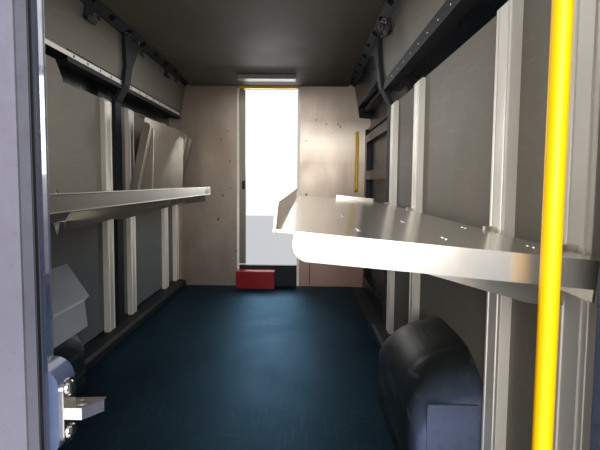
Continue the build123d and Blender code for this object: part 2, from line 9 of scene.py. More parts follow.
import bmesh
import bpy
import numpy as np
from bpy.props import FloatProperty, FloatVectorProperty, IntProperty, PointerProperty
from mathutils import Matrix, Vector


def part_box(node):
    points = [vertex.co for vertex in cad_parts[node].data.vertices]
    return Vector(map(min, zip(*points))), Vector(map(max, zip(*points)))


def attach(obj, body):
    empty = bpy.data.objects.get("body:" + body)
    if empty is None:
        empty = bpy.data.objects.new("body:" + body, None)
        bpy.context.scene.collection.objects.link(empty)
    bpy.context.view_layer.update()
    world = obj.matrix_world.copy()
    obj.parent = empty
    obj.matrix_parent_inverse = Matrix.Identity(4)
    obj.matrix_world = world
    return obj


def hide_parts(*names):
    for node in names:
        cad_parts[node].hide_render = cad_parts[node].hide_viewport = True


bl_info = {
    "name": "Van load compartment",
    "version": (1, 0, 0),
    "blender": (4, 5, 0),
    "location": "View3D > Sidebar > Compartment",
    "description": "Finishes, pressings, seals and fasteners of a van's load compartment",
    "category": "Object",
}

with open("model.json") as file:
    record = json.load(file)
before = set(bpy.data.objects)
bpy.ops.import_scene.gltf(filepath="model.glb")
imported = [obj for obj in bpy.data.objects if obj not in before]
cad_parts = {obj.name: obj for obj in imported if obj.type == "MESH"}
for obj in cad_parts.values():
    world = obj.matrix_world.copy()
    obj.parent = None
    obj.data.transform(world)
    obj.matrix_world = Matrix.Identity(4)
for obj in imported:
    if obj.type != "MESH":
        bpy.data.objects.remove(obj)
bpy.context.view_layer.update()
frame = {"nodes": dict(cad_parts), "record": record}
NODES = frame["nodes"]
SLOT_OF = {part["node"]: part["material_slot"] for part in frame["record"]["subparts"]}
FINISHES = {}

SIDES = ((-1, "left"), (1, "right"))
ALONG_X, ALONG_Y, ALONG_Z = (1, 0, 0), (0, 1, 0), (0, 0, 1)
REAR, BULKHEAD, FLOOR = -1.85, 1.85, 0.23
ARCH_Y = REAR + 1.110
POSTS = {-1: (300, 670, 1625, 2190, 2560, 3330, 3650), 1: (300, 670, 1620, 2220)}
POST_FACE, POST_DEPTH = 0.870, 0.030
BELT_HEIGHT = 1618
HINGE_X, HINGE_HEIGHT = 0.850, 868
WORKING, FOLDED = 5.0, 77.6


def along(millimetres):
    """Y of a place so far ahead of the closed rear doors."""
    return REAR + np.asarray(millimetres, float) / 1000


def above(millimetres):
    """Z of a place so far above the load floor."""
    return FLOOR + np.asarray(millimetres, float) / 1000


def tint(red, green, blue):
    """Linear colour of a colour written as 0 to 255 for the screen."""
    c = np.array([red, green, blue]) / 255.0
    linear = np.where(c <= 0.04045, c / 12.92, ((c + 0.055) / 1.055) ** 2.4)
    return tuple(float(v) for v in linear)


# ---- settings

class CompartmentColours(bpy.types.PropertyGroup):
    """Colours of the compartment's finishes."""
    paint: FloatVectorProperty(
        name="Body paint", subtype="COLOR", min=0, max=1, default=tint(66, 76, 101),
        description="Slate blue gloss of the outer skin and doors")
    primer: FloatVectorProperty(
        name="Inner steel", subtype="COLOR", min=0, max=1, default=tint(24, 29, 34),
        description="Dark satin paint of the bare steel inside")
    board: FloatVectorProperty(
        name="Wall boards", subtype="COLOR", min=0, max=1, default=tint(121, 114, 101),
        description="Matt grey boards on the walls")
    liner: FloatVectorProperty(
        name="Roof liner", subtype="COLOR", min=0, max=1, default=tint(104, 97, 85),
        description="Brown-grey board under the roof")
    rubber: FloatVectorProperty(
        name="Floor mat", subtype="COLOR", min=0, max=1, default=tint(24, 36, 44),
        description="Worn rubber of the floor")
    alloy: FloatVectorProperty(
        name="Alloy", subtype="COLOR", min=0, max=1, default=tint(216, 210, 198),
        description="Bare aluminium of posts and shelves")
    sheet: FloatVectorProperty(
        name="Bulkhead sheet", subtype="COLOR", min=0, max=1, default=tint(186, 172, 158),
        description="Worn aluminium of the bulkhead")
    yellow: FloatVectorProperty(
        name="Yellow", subtype="COLOR", min=0, max=1, default=tint(255, 192, 0),
        description="Satin coat of the grab pole, handle and lintel")
    red: FloatVectorProperty(
        name="Step red", subtype="COLOR", min=0, max=1, default=tint(150, 18, 24),
        description="Worn paint of the step in the doorway")


class CompartmentSizes(bpy.types.PropertyGroup):
    """Sizes of the compartment's small fittings."""
    rivet: FloatProperty(
        name="Rivet radius", unit="LENGTH", default=0.0045, min=0.001,
        description="Radius of a rivet head on shelves and sheets; a post's is four fifths of it")
    screw: FloatProperty(
        name="Screw radius", unit="LENGTH", default=0.00455, min=0.001,
        description="Radius of a screw head on the belt rails")
    pitch: FloatProperty(
        name="Rivet pitch", unit="LENGTH", default=0.235, min=0.02,
        description="Distance between rivets along a post")
    hole: FloatProperty(
        name="Rail hole radius", unit="LENGTH", default=0.0075, min=0.001,
        description="Radius of a hole in the belt strips")
    seal: FloatProperty(
        name="Seal radius", unit="LENGTH", default=0.006, min=0.001,
        description="Radius of the rubber seal round the rear opening")
    hood_corner: FloatProperty(
        name="Wheelhouse corner", unit="LENGTH", default=0.030, min=0.005,
        description="Radius of the wheelhouse's upright edges")
    hood_steps: IntProperty(
        name="Wheelhouse steps", default=64, min=8, max=400,
        description="Steps of the surface along a wheelhouse")


def setting_names(group):
    """Names of a group's own settings."""
    return [key for key in group.bl_rna.properties.keys() if key not in ("rna_type", "name")]


# ---- node recipes

def shade(colour, factor):
    """A colour made darker or lighter."""
    return tuple(min(1.0, c * factor) for c in colour)


class Tree:
    """The node tree of a finish or of the surroundings, emptied to be built anew."""

    def __init__(self, owner):
        owner.use_nodes = True
        self.nodes, self.link = owner.node_tree.nodes, owner.node_tree.links.new
        self.nodes.clear()

    def step(self, kind, values, **sources):
        """Adds a node, with plain values on some sockets and sources led to others."""
        node = self.nodes.new("ShaderNode" + kind)
        for key, value in values.items():
            node.inputs[key].default_value = value
        for key, source in sources.items():
            self.link(source, node.inputs[key])
        return node

    def sums(self, kind, a, b):
        """Arithmetic on two values, either of which may be a number."""
        node = self.step("Math", {})
        node.operation = kind
        for socket, value in zip(node.inputs, (a, b)):
            if isinstance(value, (int, float)):
                socket.default_value = value
            else:
                self.link(value, socket)
        return node.outputs[0]

    def most(self, a, b):
        """Larger of two values."""
        return self.sums("MAXIMUM", a, b)


class Recipe(Tree):
    """A finish: its shader, and the steps that feed it."""

    def __init__(self, name, base, roughness, metallic=0.0, coat=0.0, coat_roughness=0.1,
                 specular=0.5):
        """Starts a finish with the uniform values of its shader."""
        FINISHES[name] = bpy.data.materials.new(name)
        super().__init__(FINISHES[name])
        self.shader = self.step("BsdfPrincipled", {
            "Base Color": (*base, 1), "Roughness": roughness, "Metallic": metallic,
            "Coat Weight": coat, "Coat Roughness": coat_roughness, "Specular IOR Level": specular})
        self.step("OutputMaterial", {}, Surface=self.shader.outputs[0])

    def place(self, stretch=(1, 1, 1), turn=(0, 0, 0)):
        """Object coordinates, stretched and turned."""
        coordinates = self.step("TexCoord", {}).outputs["Object"]
        values = {"Scale": stretch, "Rotation": turn}
        return self.step("Mapping", values, Vector=coordinates).outputs[0]

    def axis(self, index):
        """One coordinate of the object, in metres."""
        coordinates = self.step("TexCoord", {}).outputs["Object"]
        return self.step("SeparateXYZ", {}, Vector=coordinates).outputs[index]

    def cloud(self, scale, detail=4.0, rough=0.55, warp=0.0, **where):
        """Soft noise from 0 to 1."""
        values = {"Scale": scale, "Detail": detail, "Roughness": rough, "Distortion": warp}
        return self.step("TexNoise", values, Vector=self.place(**where)).outputs[0]

    def level(self, value, low, high, to_low=0.0, to_high=1.0):
        """A value's range from low to high laid over another range, and held at its ends."""
        values = {"From Min": low, "From Max": high, "To Min": to_low, "To Max": to_high}
        return self.step("MapRange", values, Value=value).outputs[0]

    def times(self, a, b):
        """Product of two values."""
        return self.sums("MULTIPLY", a, b)

    def plus(self, a, b):
        """Sum of two values."""
        return self.sums("ADD", a, b)

    def off(self, value, centre=0.0):
        """How far a value is from a centre."""
        return self.sums("ABSOLUTE", self.sums("SUBTRACT", value, centre), 0.0)

    def hairlines(self, scale, width, detail, **where):
        """Thin lines: 1 where noise crosses one half, 0 away from there."""
        value = self.cloud(scale, detail, 0.5, **where)
        return self.level(self.off(value, 0.5), 0.0, width, 1.0, 0.0)

    def dashes(self, share, stretch, turn):
        """Short scratches: 1 on the peaks of noise that is stretched along its lines."""
        value = self.cloud(1.0, 1.0, 0.4, stretch=stretch, turn=turn)
        return self.level(value, share, share + 0.03)

    def mix(self, share, first, second):
        """Colour between two colours by a share; either may be a colour or a socket."""
        node = self.step("Mix", {}, Factor=share)
        node.data_type = "RGBA"
        for socket, value in ((node.inputs[6], first), (node.inputs[7], second)):
            if isinstance(value, tuple):
                socket.default_value = (*value, 1)
            else:
                self.link(value, socket)
        return node.outputs[2]

    def layers(self, colour, *coats):
        """A colour under coats in turn, each given as its share and its colour."""
        for share, coat in coats:
            colour = self.mix(share, colour, coat)
        return colour

    def feed(self, **sources):
        """Leads sources to the shader's sockets; a key's underscores stand for blanks."""
        for key, source in sources.items():
            self.link(source, self.shader.inputs[key.replace("_", " ")])

    def relief(self, height, depth, strength):
        """Bumps of so many metres."""
        node = self.step("Bump", {"Distance": depth, "Strength": strength}, Height=height)
        self.feed(Normal=node.outputs[0])

    def ribs(self, direction, scale):
        """Even waves across one axis, as bumps of a lens."""
        wave = self.step("TexWave", {"Scale": scale}, Vector=self.place())
        wave.bands_direction = direction
        self.relief(wave.outputs["Fac"], 0.0008, 0.4)


def paint_finish(name, base, roughness, coat, dust, inner=None):
    """Sprayed paint: orange peel, clouding and dust.

    With an inner colour it is the body's and doors' paint: the doors' free edges are painted
    greyer as a painted reflection, the left door has a hem and a painted shadow line for its
    groove, and all goes dark and matt inside the walls.
    """
    r = Recipe(name, base, roughness, coat=coat, coat_roughness=0.06)
    fine = r.cloud(38.0, 6, 0.65)
    worn = r.level(r.times(r.cloud(2.3, 5), fine), 0.18, 0.42)
    colour = r.mix(r.times(worn, dust), base, shade(base, 1.9))
    if inner is not None:
        wall, frame_y, skin_y, hem_y = 0.955, -1.760, -1.916, -1.913
        x, y = r.axis(0), r.axis(1)
        half = r.off(x)
        inside = r.times(r.level(half, wall, wall + 0.002, 1.0, 0.0),
                         r.level(y, frame_y - 0.002, frame_y))
        # Painted reflection: the doors' free edges are painted greyer for the surroundings they
        # reflect.
        left_edge_painted_reflection = r.times(r.level(x, -0.22, -0.05, 0.0, 0.6), r.level(x, 0.020, 0.024, 1.0, 0.0))
        left_edge_painted_reflection = r.times(r.level(y, skin_y - 0.002, skin_y, 1.0, 0.0), left_edge_painted_reflection)
        right_edge_painted_reflection = r.level(y, -2.66, -2.83, 0.0, 0.6)
        behind = r.level(y, hem_y - 0.002, hem_y, 1.0, 0.0)
        hem = r.times(r.level(x, 0.0068, 0.0078, 0.0, 0.85), r.level(half, 0.030, 0.032, 1.0, 0.0))
        # Painted shadow: a dark line on the left door's skin where the shade of its groove falls.
        groove = r.level(r.off(x, 0.0062), 0.0009, 0.0016, 0.9, 0.0)
        colour = r.layers(
            colour, (r.most(left_edge_painted_reflection, right_edge_painted_reflection), tint(94, 84, 88)),
            (r.times(hem, behind), tint(48, 50, 58)), (r.times(groove, behind), tint(14, 14, 18)),
            (inside, r.mix(worn, inner, shade(inner, 2.2))))
        r.feed(Coat_Weight=r.level(inside, 0.0, 1.0, coat, 0.0),
               Specular_IOR_Level=r.level(inside, 0.0, 1.0, 0.5, 0.12))
    r.feed(Base_Color=colour,
           Roughness=r.level(fine, 0.3, 0.7, roughness * 0.8, roughness * 1.3))
    r.relief(r.cloud(260.0, 2), 0.0004, 0.35)


def board_finish(name, base, sheen):
    """Fibre board: mottling, rubs, knocks; painted shade ahead on the right, bluish painted light
    low on the left.
    """
    r = Recipe(name, base, 0.62, specular=0.35)
    x, y, z = r.axis(0), r.axis(1), r.axis(2)
    mottle = r.cloud(1.7, 6, 0.6, 0.4)
    rubs = r.hairlines(1.6, 0.016, 5, stretch=(1.0, 1.2, 9.0), turn=(0.35, 0, 0))
    knocks = r.level(r.cloud(9.0, 3, 0.7, 1.5, stretch=(1, 1, 0.45)), 0.70, 0.76)
    # Painted shade: the boards go darker towards the cab on the right.
    painted_shade_far_right = r.times(r.level(y, -0.25, -0.12, 0.0, 0.5), r.level(x, 0.5, 0.6))
    # Painted light: the boards are tinted bluish low on the left.
    painted_bluish_light_low_left = r.times(r.level(z, 0.75, 1.05, 0.7, 0.0), r.level(x, -0.6, -0.5, 1.0, 0.0))
    colour = r.layers(
        r.mix(r.level(mottle, 0.25, 0.75), shade(base, 0.74), shade(base, 1.20)),
        (painted_shade_far_right, shade(base, 0.30)), (painted_bluish_light_low_left, tint(112, 124, 130)),
        (r.times(rubs, 0.22), shade(base, 1.55)), (r.times(knocks, 0.40), shade(base, 0.45)))
    r.feed(Base_Color=colour, Roughness=r.level(mottle, 0.3, 0.7, 0.62 - sheen, 0.72))
    r.relief(r.cloud(420.0, 3), 0.0006, 0.25)


def mat_finish(name, base):
    """Worn rubber mat: blue sheen, crossing drag marks, dust, and curled scuffs painted paler and
    bluer along its middle as a painted reflection.
    """
    r = Recipe(name, base, 0.50, metallic=0.65, specular=0.3)
    r.shader.inputs["Specular Tint"].default_value = (0.22, 0.66, 0.92, 1)
    broad = r.cloud(1.3, 6, 0.62, 0.6)
    drag = r.dashes(0.67, (150.0, 4.0, 1), (0, 0, 0.10))
    cross = r.dashes(0.69, (7.0, 130.0, 1), (0, 0, 0.62))
    curl = r.times(r.hairlines(2.6, 0.004, 1), r.level(r.cloud(2.1, 2), 0.55, 0.62))
    marks = r.times(r.most(r.most(drag, cross), curl), r.level(broad, 0.38, 0.62))
    scuff = r.level(r.cloud(11.0, 6, 0.75, stretch=(1, 0.5, 1)), 0.55, 0.75)
    # Painted reflection: the curled scuffs are painted pale and bluish along the mat's middle,
    # where the doorway's light is reflected.
    middle = r.level(r.off(r.axis(0)), 0.15, 0.45, 0.5, 0.0)
    colour = r.layers(
        r.mix(r.level(broad, 0.3, 0.7), shade(base, 0.70), shade(base, 1.5)),
        (r.times(scuff, 0.20), tint(66, 80, 88)), (r.times(curl, middle), tint(128, 146, 154)),
        (r.times(marks, 0.15), tint(110, 120, 124)))
    r.feed(Base_Color=colour, Roughness=r.level(broad, 0.3, 0.7, 0.44, 0.60))
    r.relief(r.cloud(150.0, 3), 0.0006, 0.35)


def alloy_finish(name, base, roughness, metallic, streak, stain, scratch, pale=0.0):
    """Aluminium: drawn streaks, soft stains, short bright scratches, and maybe painted light on its
    foot.
    """
    r = Recipe(name, base, roughness, metallic=metallic)
    drawn = r.cloud(3.0, 5, 0.6, stretch=streak)
    patch = r.cloud(3.1, 5, 0.58, 0.4)
    lines = r.times(r.most(r.dashes(0.72, (6.0, 90.0, 20.0), (0, 0, 0.45)),
                           r.dashes(0.73, (80.0, 7.0, 20.0), (0, 0, -0.30))), scratch)
    # Painted light: below about one metre the foot is painted paler, towards warm white, by the
    # share pale.
    colour = r.layers(
        base, (r.times(r.level(patch, 0.42, 0.78), stain), shade(base, 0.60)),
        (lines, shade(base, 1.25)),
        (r.level(r.axis(2), 0.95, 1.15, pale, 0.0), tint(255, 246, 232)))
    rough = r.plus(r.level(drawn, 0.3, 0.7, roughness * 0.93, roughness * 1.07),
                   r.level(patch, 0.3, 0.8, 0.0, 0.10 * stain))
    r.feed(Base_Color=colour, Roughness=r.plus(rough, r.times(lines, 0.1)))
    r.relief(drawn, 0.00002, 0.10)


def stained_sheet(name, base):
    """Bulkhead sheet: upright brushing, warm blooms, brown spots and dark nicks on aluminium.

    The part right of the doorway has a painted band of light and a redder foot.
    """
    r = Recipe(name, base, 0.36, metallic=0.80)
    bloom = r.cloud(1.9, 4, 0.5, 0.3, stretch=(1, 1, 0.55))
    brush = r.cloud(3.0, 5, 0.6, stretch=(60.0, 60.0, 2.0))
    height, right = r.axis(2), r.level(r.axis(0), 0.20, 0.21)
    # Painted light: a near-white band across the sheet right of the doorway.
    painted_light_band = r.times(r.level(r.off(height, 1.61), 0.04, 0.20, 0.5, 0.0), right)
    foot = r.times(r.level(height, 0.35, 1.20, 0.7, 0.0), right)
    spots = r.level(r.cloud(10.0, 3, 0.6, stretch=(1, 1, 0.7)), 0.70, 0.76)
    nicks = r.level(r.cloud(17.0, 2, 0.5, stretch=(1, 1, 0.6)), 0.745, 0.765)
    wiped = r.cloud(4.5, 6, 0.6, 0.8, stretch=(1, 1, 0.35), turn=(0, 0.3, 0))
    colour = r.layers(
        r.mix(r.level(bloom, 0.35, 0.68), shade(base, 1.12), tint(158, 140, 122)),
        (r.times(r.level(wiped, 0.45, 0.70), 0.30), tint(132, 118, 104)),
        (r.times(r.level(brush, 0.35, 0.65), 0.10), tint(150, 138, 130)),
        (r.level(height, 1.70, 2.10, 0.0, 0.6), tint(146, 130, 118)),
        (painted_light_band, tint(250, 238, 220)), (foot, tint(172, 126, 110)),
        (r.times(spots, 0.35), tint(136, 104, 78)), (r.times(nicks, 0.8), tint(66, 48, 34)))
    r.feed(Base_Color=colour, Roughness=r.plus(r.level(bloom, 0.3, 0.7, 0.30, 0.40),
                                               r.level(brush, 0.3, 0.7, 0.0, 0.08)))
    r.relief(brush, 0.0006, 0.16)


def plastic_finish(name, base, roughness, grain, wear):
    """Moulded plastic, rubber or satin paint: fine grain and pale rubbed places."""
    r = Recipe(name, base, roughness, specular=0.3)
    rub = r.level(r.cloud(6.0, 6, 0.7, 0.5), 0.52, 0.74)
    r.feed(Base_Color=r.mix(r.times(rub, wear), base, shade(base, 2.2)),
           Roughness=r.level(rub, 0.0, 1.0, roughness, roughness + 0.12))
    r.relief(r.cloud(grain, 2), 0.0005, 0.3)


def worn_paint(name, base, bare, amount):
    """Thick paint chipped to bare metal along broken patches."""
    r = Recipe(name, base, 0.3, coat=0.3)
    chips = r.level(r.cloud(16.0, 7, 0.72, 0.8), amount, amount + 0.03)
    colour = r.mix(r.level(r.cloud(4.0, 4), 0.3, 0.7), shade(base, 0.78), shade(base, 1.15))
    r.feed(Base_Color=r.mix(chips, colour, bare), Roughness=r.level(chips, 0.0, 1.0, 0.3, 0.62),
           Metallic=r.times(chips, 0.5))
    r.relief(chips, 0.0006, -0.4)


def hood_finish(name, base):
    """Wheelhouse steel: dark, dust and a painted reflection over its crown, wiped streaks, scuffs,
    bluer towards its near flange.
    """
    r = Recipe(name, base, 0.50, specular=0.3)
    # Dust and painted reflection: the crown is painted paler olive, for dust and for the shelf
    # above reflected in it.
    dust = r.level(r.axis(2), 0.50, 0.64)
    flange = r.level(r.axis(1), -0.98, -1.10)
    mist = r.cloud(5.0, 6, 0.65, 0.6)
    wipe = r.dashes(0.60, (34.0, 3.0, 34.0), (0, 0, 0.2))
    bare = r.level(r.cloud(15.0, 4, 0.7, stretch=(1, 0.5, 1)), 0.67, 0.70)
    colour = r.layers(
        base, (r.times(flange, 0.8), tint(100, 112, 142)),
        (r.times(dust, r.level(mist, 0.3, 0.8)), tint(42, 46, 36)),
        (r.times(wipe, 0.30), tint(82, 88, 84)), (r.times(bare, 0.35), tint(150, 154, 148)))
    r.feed(Base_Color=colour, Roughness=r.level(mist, 0.3, 0.7, 0.42, 0.60))
    r.relief(r.cloud(120.0, 3), 0.0006, 0.3)


def lens_finish(name, base, ribs):
    """Moulded lens: fine ribs across and a frosted depth."""
    r = Recipe(name, base, 0.45, specular=0.25)
    r.feed(Base_Color=r.mix(r.cloud(30.0, 3), shade(base, 0.86), shade(base, 1.08)))
    r.ribs("X", ribs)


def lamp_bands(name):
    """Tail lamp: red above and below a clear band, behind one ribbed lens."""
    r = Recipe(name, tint(150, 16, 20), 0.14, coat=0.6, coat_roughness=0.04)
    height = r.axis(2)
    low, high = r.level(height, 0.848, 0.850), r.level(height, 0.970, 0.972)
    red = r.mix(r.cloud(24.0, 3), tint(128, 8, 14), tint(176, 22, 26))
    r.feed(Base_Color=r.mix(r.sums("SUBTRACT", low, high), red, tint(206, 208, 206)))
    r.ribs("Z", 28.0)


# ---- surfaces

def row(x, y, z):
    """Points from three coordinates, each of them one number or a list."""
    return np.stack(np.broadcast_arrays(x, y, z), -1).astype(float)


def lattice(rows, cols, wrap=False):
    """Quads of a grid of rows by columns; wrap joins its last column to its first."""
    r = np.arange(rows - 1)[:, None]
    c = np.arange(cols if wrap else cols - 1)[None]
    n = (c + 1) % cols
    quads = [r * cols + c, r * cols + n, (r + 1) * cols + n, (r + 1) * cols + c]
    return np.stack(quads, -1).reshape(-1, 4)


def tube(rows, cols):
    """Faces of a tube of so many rings, with both its ends filled."""
    ring = np.arange(cols)
    ends = [ring[::-1].tolist(), (ring + (rows - 1) * cols).tolist()]
    return lattice(rows, cols, True).tolist() + ends


def make(name, parts, finish, body="compartment", closed=True, sharp=35, solid=0.0):
    """One object from (vertices, faces) pairs, with its finish and body."""
    points, faces, start = [], [], 0
    for verts, quads in parts:
        points.append(verts.reshape(-1, 3))
        faces += [[int(i) + start for i in face] for face in quads]
        start += len(points[-1])
    mesh = bpy.data.meshes.new(name)
    mesh.from_pydata(np.concatenate(points).tolist(), [], faces)
    work = bmesh.new()
    work.from_mesh(mesh)
    bmesh.ops.remove_doubles(work, verts=work.verts, dist=1e-6)
    bmesh.ops.dissolve_degenerate(work, dist=1e-7, edges=work.edges)
    if closed:
        bmesh.ops.recalc_face_normals(work, faces=work.faces)
    work.to_mesh(mesh)
    work.free()
    mesh.shade_smooth()
    mesh.set_sharp_from_angle(angle=math.radians(sharp))
    piece = bpy.data.objects.new(name, mesh)
    bpy.context.scene.collection.objects.link(piece)
    mesh.materials.append(FINISHES[finish])
    if solid:
        wall = piece.modifiers.new("Wall", "SOLIDIFY")
        wall.thickness = solid
        wall.offset = -1
    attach(piece, body)
    return piece


def rounded(points, radii, steps=6):
    """Outline whose corners are arcs, each the curve of its two tangent points and its middle."""
    p = np.asarray(points, float)
    back = np.roll(p, 1, 0) - p
    fore = np.roll(p, -1, 0) - p
    back_size = np.linalg.norm(back, axis=1, keepdims=True)
    fore_size = np.linalg.norm(fore, axis=1, keepdims=True)
    r = np.minimum(np.broadcast_to(radii, len(p))[:, None], 0.49 * np.minimum(back_size, fore_size))
    a = p + back / back_size * r
    b = p + fore / fore_size * r
    t = np.linspace(0, 1, steps)[None, :, None]
    curve = (1 - t) ** 2 * a[:, None] + 2 * t * (1 - t) * p[:, None] + t ** 2 * b[:, None]
    return curve.reshape(-1, 2)


def even_line(points, count):
    """A flat line's points spaced evenly along its length."""
    points = np.asarray(points, float)
    reach = np.concatenate([[0], np.cumsum(np.hypot(*np.diff(points, axis=0).T))])
    even = np.linspace(0, reach[-1], count)
    return np.stack([np.interp(even, reach, points[:, k]) for k in (0, 1)], -1)


def carry(profile, path, first, second):
    """A closed profile carried along a path: each point of it is the path's point, plus the
    profile's first number times the first axis, plus its second number times the second axis."""
    first = np.broadcast_to(first, path.shape)[:, None]
    second = np.broadcast_to(second, path.shape)[:, None]
    verts = path[:, None] + profile[:, :1] * first + profile[:, 1:] * second
    return verts, tube(len(path), len(profile))


def follow(profile, path, normal):
    """A closed profile carried along a flat path, square to it; normal is the path's plane."""
    ahead = np.gradient(path, axis=0)
    ahead /= np.linalg.norm(ahead, axis=1, keepdims=True)
    return carry(profile, path, np.cross(ahead, normal), normal)


def disc(radius, count):
    """Round outline."""
    turn = np.linspace(0, 2 * np.pi, count, endpoint=False)
    return radius * np.stack([np.cos(turn), np.sin(turn)], -1)


def box_outline(width, height, radius, steps=3):
    """Rectangle about its centre with rounded corners."""
    w, h = width / 2, height / 2
    return rounded([(-w, -h), (w, -h), (w, h), (-w, h)], radius, steps)


def slab(centre, first, second, outline, thickness, edge):
    """Flat plate of an outline on two axes: four rings across them, the outer two drawn in."""
    middle = outline.mean(0)
    small = middle + (outline - middle) * (1 - edge / np.abs(outline - middle).max())
    rings = np.stack([small, outline, outline, small])
    depth = np.array([0, edge, thickness - edge, thickness])[:, None, None]
    verts = rings[..., :1] * first + rings[..., 1:] * second + depth * np.cross(first, second)
    return verts + centre, tube(4, len(outline))


def studs(places, normals, radius, height, sides=10):
    """Domed heads: a profile of shares of radius and height, turned about each normal."""
    up = np.broadcast_to(normals, places.shape)
    side = np.cross(up, np.where(np.abs(up[:, 2:]) > 0.9, ALONG_X, ALONG_Z)).astype(float)
    side /= np.linalg.norm(side, axis=1, keepdims=True)
    third = np.cross(up, side)
    rings = np.array([(1.0, -0.4), (1.0, 0.35), (0.82, 0.8), (0.4, 1.0)])
    wide, tall = (rings * (radius, height)).T[..., None]
    turn = disc(1.0, sides)
    form = row(wide * turn[:, 0], wide * turn[:, 1], tall).reshape(-1, 3)
    verts = (places[:, None] + form[:, :1] * side[:, None] + form[:, 1:2] * third[:, None]
             + form[:, 2:] * up[:, None])
    head = tube(len(rings), sides)
    return verts, [[i + k * len(form) for i in face] for k in range(len(places)) for face in head]


def mirror(parts, side):
    """Parts drawn on the right, for side 1, or their mirror image, for side -1."""
    return [(verts * (side, 1, 1), faces) for verts, faces in parts]


def upper_x(height):
    """Half width of the leaning upper wall at a height above the floor, in millimetres."""
    return 845 + (height - 1608) / 285 * (797 - 845)


def skin_x(height):
    """Half width of the outer skin: the circle through sill, waist and shoulder."""
    sill, *others = np.array([(0.985, 0.030), (1.025, 0.700), (1.003, 1.450)])
    x, z = np.linalg.solve(2 * (others - sill), np.sum(np.square(others) - sill ** 2, 1))
    return x + np.sqrt((sill[0] - x) ** 2 + (sill[1] - z) ** 2 - (height - z) ** 2)


# ---- operators

class Builder:
    """What every piece's operator has; any error in its build is raised to the caller."""
    bl_options = {"REGISTER", "UNDO"}

    def execute(self, context):
        """Builds the piece from the scene's settings."""
        if not FINISHES and self.bl_label != "Finishes":
            raise RuntimeError("the finishes come first")
        self.build(context.scene.compartment_colours, context.scene.compartment_sizes)
        return {"FINISHED"}


class COMPARTMENT_OT_finishes(Builder, bpy.types.Operator):
    """Makes the finishes and puts them on the compartment's solid parts"""
    bl_idname = "compartment.finishes"
    bl_label = "Finishes"

    def build(self, colour, size):
        c = {key: tuple(getattr(colour, key)) for key in setting_names(colour)}
        paint_finish("body_blue", c["paint"], 0.30, 0.45, 0.20, c["primer"])
        paint_finish("roof_skin", shade(c["paint"], 1.05), 0.32, 0.45, 0.28)
        mat_finish("mat_rubber", c["rubber"])
        board_finish("lining_board", c["board"], 0.10)
        board_finish("liner_board", c["liner"], 0.02)
        stained_sheet("bulkhead_alloy", c["sheet"])
        worn_paint("red_paint", c["red"], tint(120, 116, 112), 0.66)
        hood_finish("hood_steel", tint(20, 27, 30))
        lens_finish("lamp_cover", tint(140, 138, 124), 22.0)
        lamp_bands("lamp_red")
        # name, colour, roughness, metallic, stretch of the streaks, stain, scratch, painted light
        # on the foot
        for values in (("post_alloy", c["alloy"], 0.42, 0.38, (9, 9, 0.4), 0.30, 0.10, 0.9),
                       ("shelf_alloy", c["alloy"], 0.20, 0.80, (7, 0.4, 7), 0.25, 0.22),
                       ("old_alloy", tint(142, 136, 122), 0.34, 0.75, (0.5, 7, 7), 0.45, 0.20),
                       ("chrome_steel", tint(226, 222, 218), 0.18, 1.0, (5, 5, 5), 0.25, 0.10)):
            alloy_finish(*values)
        # name, colour, roughness, scale of the grain, wear
        for values in (("dark_steel", c["primer"], 0.66, 300.0, 0.35),
                       ("yellow_paint", c["yellow"], 0.36, 300.0, 0.02),
                       ("black_plastic", tint(26, 27, 30), 0.5, 300.0, 0.5),
                       ("cover_grey", tint(196, 200, 210), 0.52, 240.0, 0.12),
                       ("seal_rubber", tint(18, 20, 24), 0.62, 420.0, 0.4),
                       ("faded_tape", tint(190, 176, 104), 0.5, 300.0, 0.2),
                       ("hem_grey", tint(66, 68, 76), 0.5, 300.0, 0.2),
                       ("shadow_gap", tint(9, 10, 12), 0.8, 90.0, 0.1)):
            plastic_finish(*values)
        finish_of = {**SLOT_OF, "wheelhouse_cover_right": "hood_steel", "belt_rails": "dark_steel",
                     "shelf_left_front": "old_alloy", "shelf_left_rear": "old_alloy",
                     "partition_door": "old_alloy"}
        for node, piece in NODES.items():
            for material_slot in piece.material_slots:
                material_slot.material = FINISHES[finish_of[node]]


